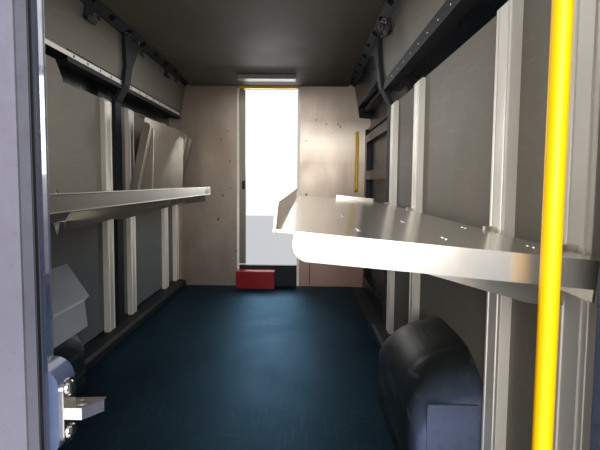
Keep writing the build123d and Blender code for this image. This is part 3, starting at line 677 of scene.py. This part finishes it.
class COMPARTMENT_OT_wheelhouses(Builder, bpy.types.Operator):
    """Pressed wheelhouses with rounded edges, a bead and a lapped step across"""
    bl_idname = "compartment.wheelhouses"
    bl_label = "Wheelhouses"

    def build(self, colour, size):
        """Side outline z(y) with rounded corners, lowered by the slope's table d(x).

        Its ends run in on an arc at the aisle edge, from which three rows hang to the floor.
        """
        aisle, half_length, corner = 0.690, 0.370, size.hood_corner
        bead_y, bead_height, step_y, step_height = -0.352, 0.0025, -0.168, 0.004
        points = [(-370, -25), (-370, 345), (-268, 397), (-216, 427), (-140, 448), (-60, 450),
                  (60, 450), (140, 448), (216, 427), (268, 397), (370, 345), (370, -25)]
        line = even_line(rounded(points, [1, 26] + [40] * 8 + [26, 1], 7), size.hood_steps * 2)
        line /= 1000
        tangent = np.gradient(line, axis=0)
        out = np.stack([-tangent[:, 1], tangent[:, 0]], -1)
        out /= np.linalg.norm(out, axis=1, keepdims=True)
        crown = line[:, 1] > 0.25
        bead = bead_height * np.exp(-((line[:, 0] - bead_y) / 0.008) ** 2) * crown
        step = step_height / (1 + np.exp((line[:, 0] - step_y) / 0.003)) * crown
        line = line + out * (bead + step - step_height)[:, None]
        turn = np.linspace(0, np.pi / 2, 9)[1:]
        level = [0.984, 0.945, 0.905, 0.87, 0.83, 0.80, 0.78, 0.76, 0.74, aisle + corner]
        x = np.concatenate([level, aisle + corner * (1 - np.sin(turn))])
        inset = np.concatenate([np.zeros(len(level)), corner * (1 - np.cos(turn))])
        drop = np.interp(x * 1000, (690, 696, 705, 718, 735, 752, 768, 800, 850, 905, 984),
                         (150, 128, 106, 86, 66, 51, 41, 26, 12, 0, -20)) / 1000
        foot = above(-25)
        y = ARCH_Y + np.clip(line[:, :1], inset - half_length, half_length - inset)
        z = np.maximum(FLOOR + line[:, 1:] - drop, foot)
        hang = np.array([0.3, 0.65, 1.0])
        x = np.concatenate([x, np.full(3, aisle)])
        y = np.concatenate([y, np.repeat(y[:, -1:], 3, 1)], 1)
        z = np.concatenate([z, z[:, -1:] + hang * (foot - z[:, -1:])], 1)
        verts, faces = row(x, y, z), lattice(*y.shape)
        for side, name in SIDES:
            quads = faces if side > 0 else faces[:, ::-1]
            piece = make("hood_" + name, [(verts * (side, 1, 1), quads)], "hood_steel",
                         closed=False, sharp=30, solid=step_height)
            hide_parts("wheelhouse_" + name)


class COMPARTMENT_OT_posts(Builder, bpy.types.Operator):
    """Ridged alloy posts with rivets in their grooves"""
    bl_idname = "compartment.posts"
    bl_label = "Posts"

    def build(self, colour, size):
        """Drawn section with two grooves and lipped edges, carried up from foot to head.

        Its head slopes back to the wall.
        """
        face = [(47.5, 2), (46, 0.2), (36, 0), (35, 3), (25, 3), (24, 0), (0, 0.5), (-24, 0),
                (-25, 3), (-35, 3), (-36, 0), (-46, 0.2), (-47.5, 2), (-47.5, 30), (47.5, 30)]
        across, depth = np.array(face).T / 1000
        groove, groove_face = 0.030, POST_FACE + 0.0028
        levels = ((58, 0.0), (1483, 0.0), (1497, 0.014))
        for side, name in SIDES:
            parts, heads = [], []
            for ahead in POSTS[side]:
                y = along(ahead)
                rings = [row(POST_FACE + back + depth * (1 - back / POST_DEPTH), y + across,
                             above(up)) for up, back in levels]
                parts.append((np.stack(rings), tube(3, len(face))))
                rivets = row(groove_face, y, np.arange(above(110), above(1460), size.pitch))
                heads += [rivets + (0, groove, 0), rivets + (0, -groove, 0.11)]
            piece = make("post_section_" + name, mirror(parts, side), "post_alloy")
            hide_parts("posts_" + name)
            heads = np.concatenate(heads) * (side, 1, 1)
            make("post_rivets_" + name, [studs(heads, (-side, 0, 0), size.rivet * 0.8, 0.0018, 8)],
                 "post_alloy")


class COMPARTMENT_OT_rails(Builder, bpy.types.Operator):
    """Strips, holes and screws of the belt rails, and the clips and loops of the cant rails"""
    bl_idname = "compartment.rails"
    bl_label = "Rails and clips"

    def clip(self, ahead, width, drop, curl):
        """A strip of steel 3 mm thick: it runs down the rail, over the board and out in a hook."""
        tip = 1893 - drop
        low = upper_x(tip) - 8
        line = even_line([(764, 1916), (778, 1906), (788, 1898), (789, 1890), (low, tip),
                          (low - curl * 0.6, tip - curl * 0.5), (low - curl, tip + curl * 0.3)], 20)
        path = row(line[:, 0] / 1000, along(ahead), above(line[:, 1]))
        return follow(box_outline(0.003, width / 1000, 0.001, 2), path, ALONG_Y)

    def build(self, colour, size):
        belt, face, pitch, screw_from_hole = above(BELT_HEIGHT), 0.8246, 145.0, (0, 0.072, -0.012)
        strips, holes, screws = [], [], []
        # side, start of the strip, first hole or screw, end
        for side, begin, start, end in ((-1, 120, 1700, 2290), (-1, 2400, 2450, 3620),
                                        (1, 0, 190, 2290)):
            places = row(side * face, along(np.arange(start, end, pitch)), belt)
            screws.append(places + screw_from_hole)
            if side < 0:
                holes.append(places)
                strips.append(carry(box_outline(0.0016, 0.024, 0.0006, 2),
                                    row(-face - 0.0009, along([begin, end]), belt),
                                    ALONG_X, ALONG_Z))
        make("belt_strips", strips, "post_alloy")
        holes, screws = np.concatenate(holes), np.concatenate(screws)
        make("belt_holes", [studs(holes, ALONG_X, size.hole, 0.0006, 12)], "shadow_gap")
        inwards = -np.sign(screws[:, :1]) * ALONG_X
        make("belt_screws", [studs(screws, inwards, size.screw, 0.002)], "chrome_steel")
        # place, width, drop below the rail and reach of the hook of each clip
        clips = {-1: ((1010, 60, 70, 16), (1800, 95, 60, 30), (1905, 24, 20, 12),
                      (2560, 50, 34, 14), (3110, 80, 46, 24), (3380, 40, 26, 12)),
                 1: ((900, 60, 50, 16), (1560, 40, 30, 14), (1965, 90, 60, 34), (2140, 44, 26, 14),
                     (2500, 60, 34, 18), (3050, 50, 30, 14))}
        for side, name in SIDES:
            make("cant_clips_" + name, mirror([self.clip(*values) for values in clips[side]], side),
                 "dark_steel")
        loops, lean = [], (0.6, 0, 0.8)
        outline = box_outline(0.052, 0.022, 0.008, 4)
        y, up = np.vstack([outline, outline[:1]]).T
        for side, ahead in ((1, 1985), (1, 2090), (-1, 2250), (-1, 2420)):
            path = row(0.772 + up * lean[2], along(ahead) + y, above(1905) - up * lean[0])
            loop = follow(box_outline(0.0025, 0.014, 0.0008, 2), path, lean)
            loops += mirror([loop], side)
        make("cant_loops", loops, "chrome_steel")


class COMPARTMENT_OT_shelf_trim(Builder, bpy.types.Operator):
    """Rolled lips, rivets, slotted channels and blank tab of the three shelves"""
    bl_idname = "compartment.shelf_trim"
    bl_label = "Shelf trim"

    def to_wall(self, side, angle, points):
        """From a shelf's own frame, X to the aisle and Z up from its sheet, to the wall."""
        c, s = math.cos(math.radians(angle)), math.sin(math.radians(angle))
        x, y, z = np.moveaxis(np.asarray(points, float), -1, 0)
        return row(x * c - z * s - HINGE_X, y, x * s + z * c + above(HINGE_HEIGHT)) * (-side, 1, 1)

    def placed(self, side, angle, part):
        """A part drawn in a shelf's own frame, at its place on the wall."""
        return self.to_wall(side, angle, part[0]), part[1]

    def build(self, colour, size):
        edge, sheet, under, lip = 0.568, 0.0021, -0.0022, 0.0452
        for name, side, rear, front, angle, arms in (
                ("left_rear", -1, 100, 2375, WORKING, POSTS[-1][:4]),
                ("left_front", -1, 2420, 3520, FOLDED, POSTS[-1][4:6]),
                ("right", 1, 165, 2270, WORKING, POSTS[1])):
            body = "shelf_" + name + "_body"
            y = np.linspace(along(rear) + 0.001, along(front) - 0.001, 24)
            rolls = [carry(outline, row(x, y, up), ALONG_X, ALONG_Z)
                     for outline, x, up in ((disc(0.0032, 10), edge, lip),
                                            (disc(0.0026, 8), edge + 0.0005, -0.0005))]
            make("shelf_lip_" + name, [self.placed(side, angle, part) for part in rolls],
                 "old_alloy" if side < 0 else "shelf_alloy", body)
            heads = np.array([(0.07 + 0.17 * k, along(arm) + beside, sheet)
                              for arm in arms for k in range(3) for beside in (-0.012, 0.012)])
            tops = self.to_wall(side, angle, heads)
            lows = self.to_wall(side, angle, heads * (1, 1, -1))
            up = np.subtract(*self.to_wall(side, angle, [ALONG_Z, (0, 0, 0)]))
            make("shelf_rivets_" + name, [studs(tops, up, size.rivet, 0.0016),
                                          studs(lows, -up, size.rivet, 0.0018)],
                 "shelf_alloy", body)
        tab = slab((edge + 0.0032, along(2297), 0.020), ALONG_Y, ALONG_Z,
                   box_outline(0.11, 0.026, 0.004), 0.0012, 0.0003)
        make("shelf_tab", [self.placed(-1, WORKING, tab)], "faded_tape", "shelf_left_rear_body")
        channels, slots = [], []
        hat = np.array([(-26, 0.4), (-18, -8), (18, -8), (26, 0.4)]) / 1000
        for ahead in (2462, 3440):
            y = along(ahead)
            channels.append(carry(hat, row([0.05, 0.53], y, under), ALONG_Y, ALONG_Z))
            slots += [slab((x, y, -0.0100), ALONG_Y, ALONG_X, box_outline(0.012, 0.030, 0.005),
                           0.0006, 0.0002) for x in np.arange(0.10, 0.50, 0.055)]
        channels, slots = ([self.placed(-1, FOLDED, part) for part in parts]
                           for parts in (channels, slots))
        make("shelf_channels_left_front", channels, "shelf_alloy", "shelf_left_front_body")
        make("shelf_slots_left_front", slots, "shadow_gap", "shelf_left_front_body")


class COMPARTMENT_OT_doors(Builder, bpy.types.Operator):
    """Hems and rubber of the left rear door, its striker's screws and the opening's seal"""
    bl_idname = "compartment.doors"
    bl_label = "Rear door trim"

    def build(self, colour, size):
        z = np.linspace(0.175, 2.130, 60)
        for name, outline, x, y, finish in (
                ("left_lip_rubber", box_outline(0.0036, 0.0068, 0.001), 0.0196, -1.9155,
                 "seal_rubber"),
                ("left_lip_hem", disc(0.0034, 12), 0.0176, -1.9082, "hem_grey"),
                ("left_inner_hem", disc(0.0024, 10), 0.0010, -1.8560, "body_blue")):
            make(name, [carry(outline, row(x, y, z), ALONG_X, ALONG_Y)], finish,
                 "rear_door_left_body")
        head = 0.0042
        places = row(0.0360, -1.879, above([734, 677]))
        make("striker_screws", [studs(places, ALONG_X, 0.0095, head, 18)], "chrome_steel",
             "rear_door_left_body")
        make("striker_drives", [studs(places + (head, 0, 0), ALONG_X, 0.0042, 0.0003, 6)],
             "shadow_gap", "rear_door_left_body")
        centre_x, centre_z, radius = 0.690, above(1700), 0.083
        turn = np.linspace(0, np.pi / 2, 12)[1:]
        upright = row(centre_x + radius, 0, np.linspace(above(6), centre_z, 50))
        corner = row(centre_x + radius * np.cos(turn), 0, centre_z + radius * np.sin(turn))
        half = np.vstack([upright, corner, [(0, 0, centre_z + radius)]])
        path = np.vstack([half, half[-2::-1] * (-1, 1, 1)]) + (0, REAR + 0.012, 0)
        make("opening_seal", [follow(disc(size.seal, 10), path, ALONG_Y)], "seal_rubber")


class COMPARTMENT_OT_bulkhead_trim(Builder, bpy.types.Operator):
    """Full sheets of the bulkhead with edge strips, slit, rivets and drilled holes"""
    bl_idname = "compartment.bulkhead_trim"
    bl_label = "Bulkhead trim"

    def build(self, colour, size):
        """Each sheet's outline, from its jamb along the floor, up the wall and back, is carried
        through the sheet's thickness; the strips' section is carried up the jambs."""
        wall = [(899, -5), (904, 2), (904, 1501), (948, 1507), (948, 1607), (848, 1611),
                (797, 1896), (850, 1899), (850, 1925), (780, 1945)]
        section = np.array([(0, 0), (22, 0), (22, -1.2), (1.2, -1.2), (0, -1.0)]) / 1000
        strips = []
        for (side, name), jamb in zip(SIDES, (286, 267)):
            outline = np.array([(jamb, -5)] + wall + [(jamb, 1945)]) / 1000 + (0, FLOOR)
            outline = outline[::-side] * (side, 1)
            sheet = carry(outline, row(0, [BULKHEAD, BULKHEAD + 0.020], 0), ALONG_X, ALONG_Z)
            piece = make("bulkhead_sheet_" + name, [sheet], "bulkhead_alloy")
            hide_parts("bulkhead_" + name)
            path = row(side * jamb / 1000, BULKHEAD - 0.0006, above([2, 1876]))
            strips.append(carry(section * (side, 1), path, ALONG_X, ALONG_Y))
        make("jamb_strips", strips, "post_alloy")
        slit = slab((0.392, BULKHEAD - 0.0001, above(415)), ALONG_X, ALONG_Z,
                    box_outline(0.006, 0.80, 0.001), 0.0009, 0.0002)
        make("bulkhead_slit", [slit], "shadow_gap")
        x = np.concatenate([np.linspace(-0.86, -0.31, 7), np.linspace(0.29, 0.86, 7)])
        low = row(x, BULKHEAD, above(22))
        jambs = [row(beside, BULKHEAD - 0.001, np.linspace(above(120), above(1840), 9))
                 for beside in (-0.300, 0.281)]
        rivets = np.concatenate([low, low + (0, 0, 1.40), *jambs])
        make("bulkhead_rivets", [studs(rivets, (0, -1, 0), size.rivet, 0.0016)], "bulkhead_alloy")
        x, up = np.array([(0.441, 1588), (0.536, 1550), (0.650, 1550), (0.346, 1390),
                          (-0.40, 1480), (-0.375, 1195), (-0.372, 940)]).T
        holes = studs(row(x, BULKHEAD, above(up)), (0, -1, 0), 0.006, 0.0006, 12)
        make("bulkhead_holes", [holes], "shadow_gap")


class COMPARTMENT_OT_lamp(Builder, bpy.types.Operator):
    """Cover of the roof lamp with its end caps"""
    bl_idname = "compartment.lamp"
    bl_label = "Roof lamp"

    def build(self, colour, size):
        """The lamp's section, round below, is carried across between the caps."""
        low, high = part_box("roof_lamp")
        side, brim, bottom, top = 0.002, 0.014, low.z - 0.001, low.z + 0.012
        outline = rounded([(low.y + side, low.z + 0.004), (low.y + brim, bottom),
                           (high.y - brim, bottom), (high.y - side, low.z + 0.004),
                           (high.y - side, top), (low.y + side, top)], 0.006, 4) + (0, 0.0012)
        cap = (outline - outline.mean(0)) * 1.03 + outline.mean(0)
        ends = [carry(cap, row(x, 0, 0), ALONG_Y, ALONG_Z)
                for x in ((low.x + 0.0005, low.x + 0.022), (high.x - 0.022, high.x - 0.0005))]
        make("lamp_caps", ends, "black_plastic")
        cover = carry(outline, row([low.x + 0.020, high.x - 0.020], 0, 0), ALONG_Y, ALONG_Z)
        make("lamp_lens", [cover], "lamp_cover")


class COMPARTMENT_OT_outside(Builder, bpy.types.Operator):
    """Wheel arch lips, and the screws of the grab pole's foot"""
    bl_idname = "compartment.outside"
    bl_label = "Arch lips and pole screws"

    def build(self, colour, size):
        """The lip's section follows a circle in the outer skin, x(z) by the skin's own circle."""
        radius, centre_z = 0.404, 0.06
        turn = np.linspace(math.radians(-3), math.radians(183), 60)
        z = centre_z + radius * np.sin(turn)
        path = row(skin_x(z) + 0.001, ARCH_Y + radius * np.cos(turn), z)
        section = np.array([(-3, -10), (-3, 14), (2, 14), (6, 8), (7, 0), (6, -8), (3, -10)]) / 1000
        lip = carry(section, path, ALONG_X, row(0, np.cos(turn), np.sin(turn)))
        for side, name in SIDES:
            make("arch_lip_" + name, mirror([lip], side), "black_plastic")
        turn, ring = np.array([0.5, 2.6, 4.7]), 0.023
        foot = row(0.722 + ring * np.cos(turn), along(118) + ring * np.sin(turn), above(6))
        make("pole_screws", [studs(foot, ALONG_Z, 0.0045, 0.002)], "chrome_steel")


class COMPARTMENT_OT_stage(Builder, bpy.types.Operator):
    """Pale floor, white surroundings, soft lamps and the camera"""
    bl_idname = "compartment.stage"
    bl_label = "Stage"

    def lamp(self, name, spot, aim, size, power, shape):
        """Rectangular soft lamp at a spot, turned to its aim, unseen by the camera."""
        data = bpy.data.lights.new(name, "AREA")
        data.shape = "RECTANGLE"
        data.size, data.size_y, data.energy = size, size * shape, power
        lamp = bpy.data.objects.new(name, data)
        bpy.context.scene.collection.objects.link(lamp)
        lamp.location = spot
        lamp.rotation_euler = (Vector(aim) - Vector(spot)).to_track_quat("-Z", "Y").to_euler()
        lamp.visible_camera = False

    def surroundings(self, scene):
        """Bluish soft light all round, seen as plain white."""
        scene.world = bpy.data.worlds.new("surroundings")
        tree = Tree(scene.world)
        ray = tree.step("LightPath", {}).outputs
        seen = tree.most(tree.most(ray["Is Camera Ray"], ray["Is Glossy Ray"]),
                         ray["Is Transmission Ray"])
        light = tree.step("Background", {"Color": (0.93, 0.96, 1.0, 1), "Strength": 0.75})
        white = tree.step("Background", {"Color": (1, 1, 1, 1), "Strength": 1.0})
        mix = tree.step("MixShader", {})
        for source, socket in zip((seen, light.outputs[0], white.outputs[0]), mix.inputs):
            tree.link(source, socket)
        tree.step("OutputWorld", {}, Surface=mix.outputs[0])

    def build(self, colour, size):
        scene = bpy.context.scene
        scene.view_settings.view_transform = "Standard"
        self.surroundings(scene)

        Recipe("pale_floor", (0.80, 0.80, 0.80), 0.7)
        reach, drop = 14, -0.001
        verts = [(x, y, drop) for x in (-reach, reach) for y in (-reach, reach)]
        mesh = bpy.data.meshes.new("studio_floor")
        mesh.from_pydata(verts, [], [[0, 2, 3, 1]])
        floor = bpy.data.objects.new("studio_floor", mesh)
        scene.collection.objects.link(floor)
        mesh.materials.append(FINISHES["pale_floor"])

        self.lamp("doorway_light", (0.7, -4.6, 1.8), (0.1, 0.6, 0.8), 3.2, 225, 0.6)
        self.lamp("cab_light", (0.0, 3.6, 1.9), (0.0, 0.0, 0.5), 1.6, 55, 0.8)
        self.lamp("roof_fill", (0.0, 0.0, 2.10), (0.0, 0.0, 0.0), 0.9, 16, 3.2)

        data = bpy.data.cameras.new("view_in")
        data.sensor_width = 36.0
        data.lens = 26.966
        data.shift_y = -0.0205
        data.clip_start = 0.02
        camera = bpy.data.objects.new("view_in", data)
        scene.collection.objects.link(camera)
        camera.location = (0.334, -2.4349, 1.2282)
        camera.rotation_euler = [math.radians(a) for a in (86.160, -0.498, 0.556)]
        scene.camera = camera


PIECES = (COMPARTMENT_OT_finishes, COMPARTMENT_OT_wheelhouses, COMPARTMENT_OT_posts,
          COMPARTMENT_OT_rails, COMPARTMENT_OT_shelf_trim, COMPARTMENT_OT_doors,
          COMPARTMENT_OT_bulkhead_trim, COMPARTMENT_OT_lamp, COMPARTMENT_OT_outside,
          COMPARTMENT_OT_stage)


class COMPARTMENT_PT_panel(bpy.types.Panel):
    """Lists the compartment's pieces and their settings"""
    bl_idname = "COMPARTMENT_PT_panel"
    bl_label = "Load compartment"
    bl_space_type = "VIEW_3D"
    bl_region_type = "UI"
    bl_category = "Compartment"

    def draw(self, context):
        """A button for each piece, then both groups of settings."""
        for piece in PIECES:
            self.layout.operator(piece.bl_idname)
        for group in (context.scene.compartment_colours, context.scene.compartment_sizes):
            column = self.layout.column()
            for key in setting_names(group):
                column.prop(group, key)


CLASSES = (CompartmentColours, CompartmentSizes, *PIECES, COMPARTMENT_PT_panel)


def register():
    """Adds the classes and the two groups of settings."""
    for kind in CLASSES:
        bpy.utils.register_class(kind)
    bpy.types.Scene.compartment_colours = PointerProperty(type=CompartmentColours)
    bpy.types.Scene.compartment_sizes = PointerProperty(type=CompartmentSizes)


def unregister():
    """Takes them away again."""
    del bpy.types.Scene.compartment_sizes
    del bpy.types.Scene.compartment_colours
    for kind in reversed(CLASSES):
        bpy.utils.unregister_class(kind)


def main():
    """Builds every piece in order."""
    register()
    for piece in PIECES:
        group, call = piece.bl_idname.split(".")
        getattr(getattr(bpy.ops, group), call)()


if __name__ == "__main__":
    main()
